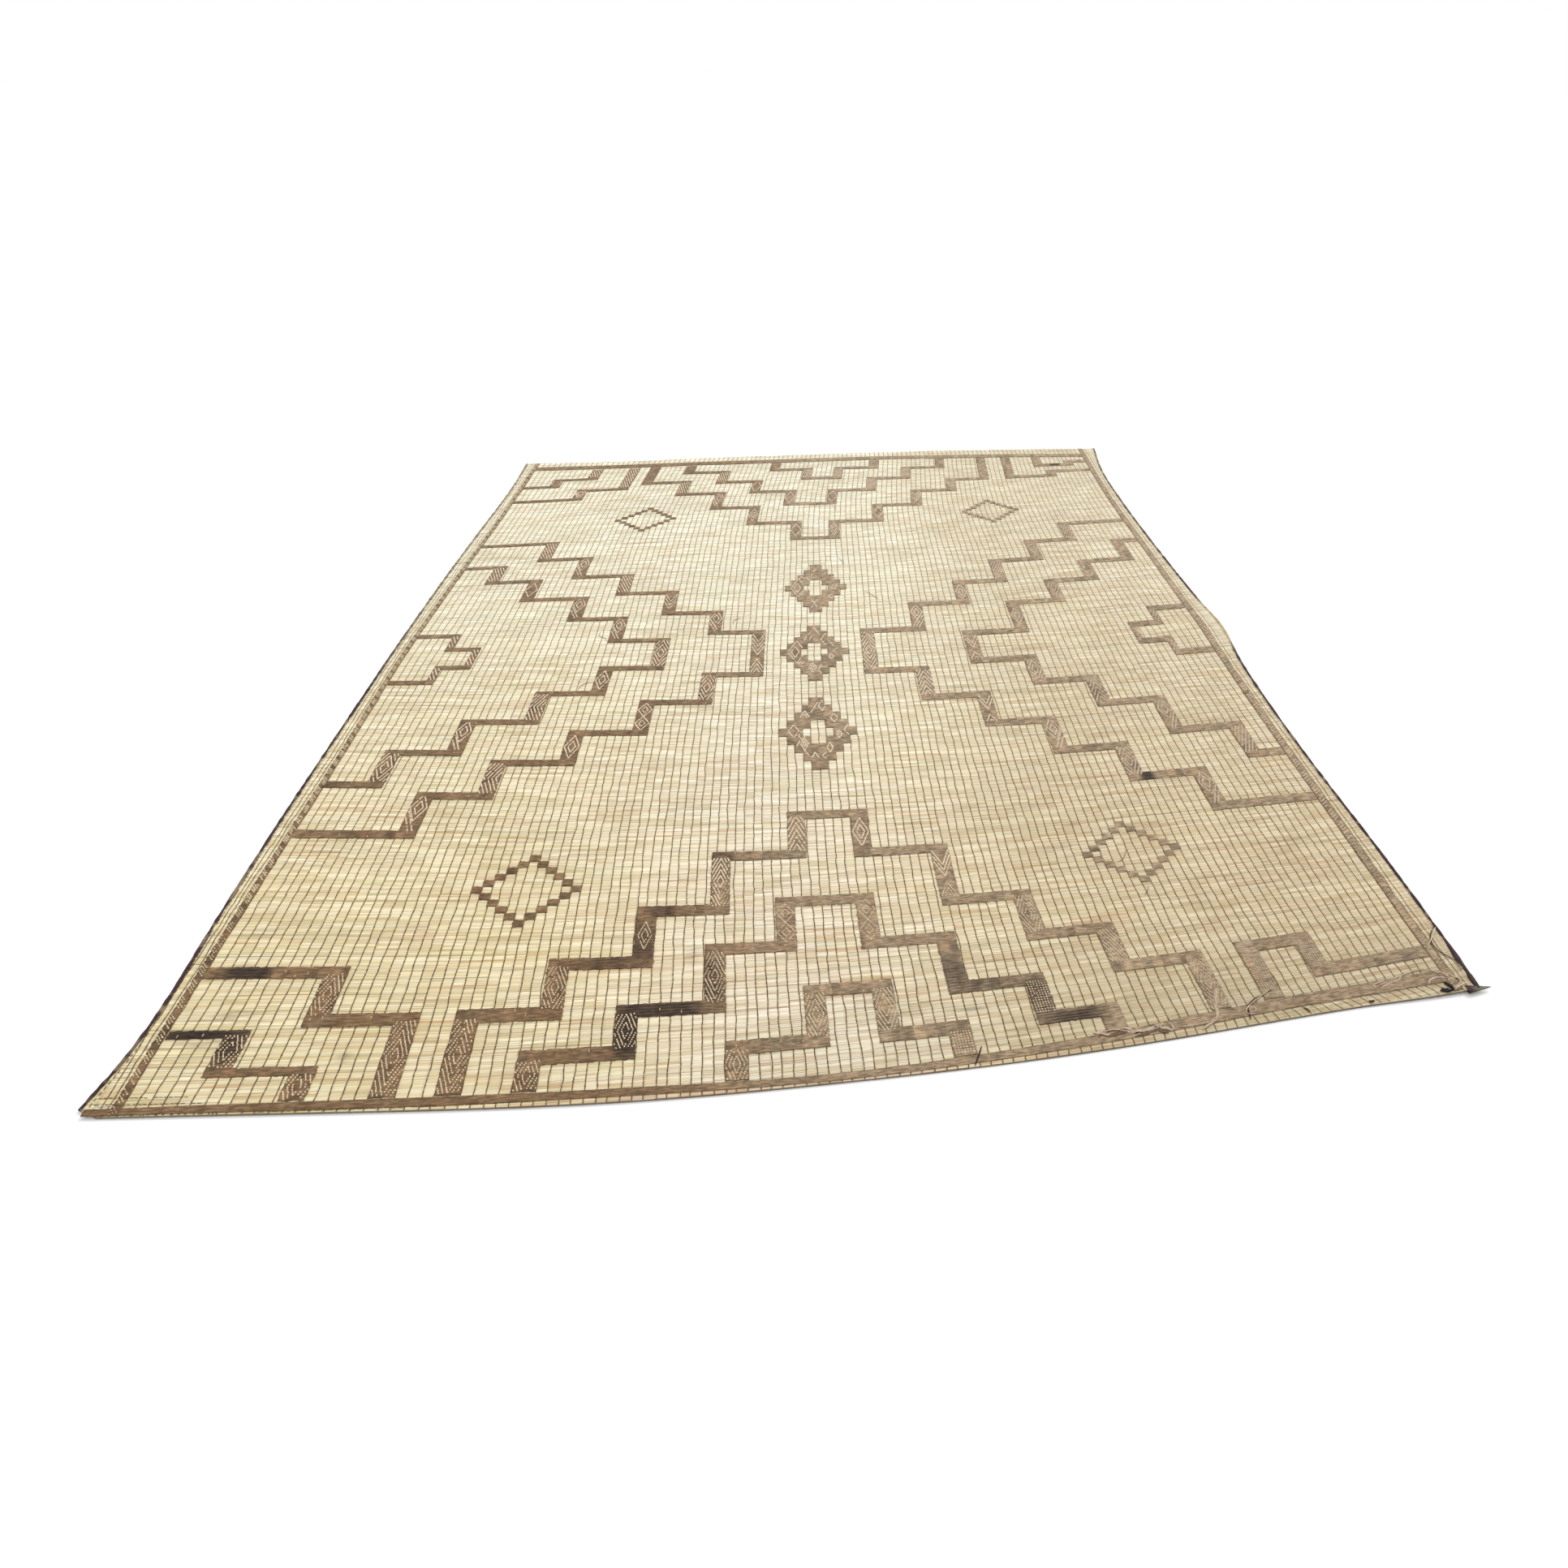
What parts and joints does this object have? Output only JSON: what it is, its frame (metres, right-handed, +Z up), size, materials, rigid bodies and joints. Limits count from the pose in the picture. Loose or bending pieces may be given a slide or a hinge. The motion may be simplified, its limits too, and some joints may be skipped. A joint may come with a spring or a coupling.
{
  "type": "tuareg mat",
  "caption": "Large flat reed floor mat bound by lengthwise leather thongs, with stepped leather bands, diamonds, end borders and dark bound long edges.",
  "frame": {"origin": "middle of the mat's outline, on the floor that it lies on", "axes": "+Y along the mat's length towards its far end, +X across its width, +Z up"},
  "size_m": [3.1038, 4.5648, 0.0092],
  "materials": {
    "reed": "matt dry reed",
    "brown_leather": "matt worn leather",
    "dark_leather": "matt dark leather",
    "thong_leather": "matt raw leather"
  },
  "bodies": {
    "root": {"far_border": "brown_leather", "far_filled_diamond": "brown_leather", "far_inner_medallion": "brown_leather", "far_left_inner_hook": "brown_leather", "far_left_outer_hook": "brown_leather", "far_left_outlined_diamond": "brown_leather", "far_middle_medallion": "brown_leather", "far_outer_medallion": "brown_leather", "far_right_inner_hook": "brown_leather", "far_right_outer_hook": "brown_leather", "far_right_outlined_diamond": "brown_leather", "left_border": "brown_leather", "left_edge_binding": "dark_leather", "left_hook": "brown_leather", "left_inner_band": "brown_leather", "left_outer_band": "brown_leather", "loose_thong_border": "thong_leather", "loose_thong_curl": "thong_leather", "loose_thong_hook": "thong_leather", "loose_thong_loop": "thong_leather", "middle_filled_diamond": "brown_leather", "near_border": "brown_leather", "near_filled_diamond": "brown_leather", "near_inner_medallion": "brown_leather", "near_left_inner_hook": "brown_leather", "near_left_outer_hook": "brown_leather", "near_left_outlined_diamond": "brown_leather", "near_middle_medallion": "brown_leather", "near_outer_medallion": "brown_leather", "near_right_hook": "brown_leather", "near_right_outlined_diamond": "brown_leather", "reed_mat": "reed", "right_border": "brown_leather", "right_edge_binding": "dark_leather", "right_hook": "brown_leather", "right_inner_band": "brown_leather", "right_outer_band": "brown_leather"}
  },
  "joints": []
}
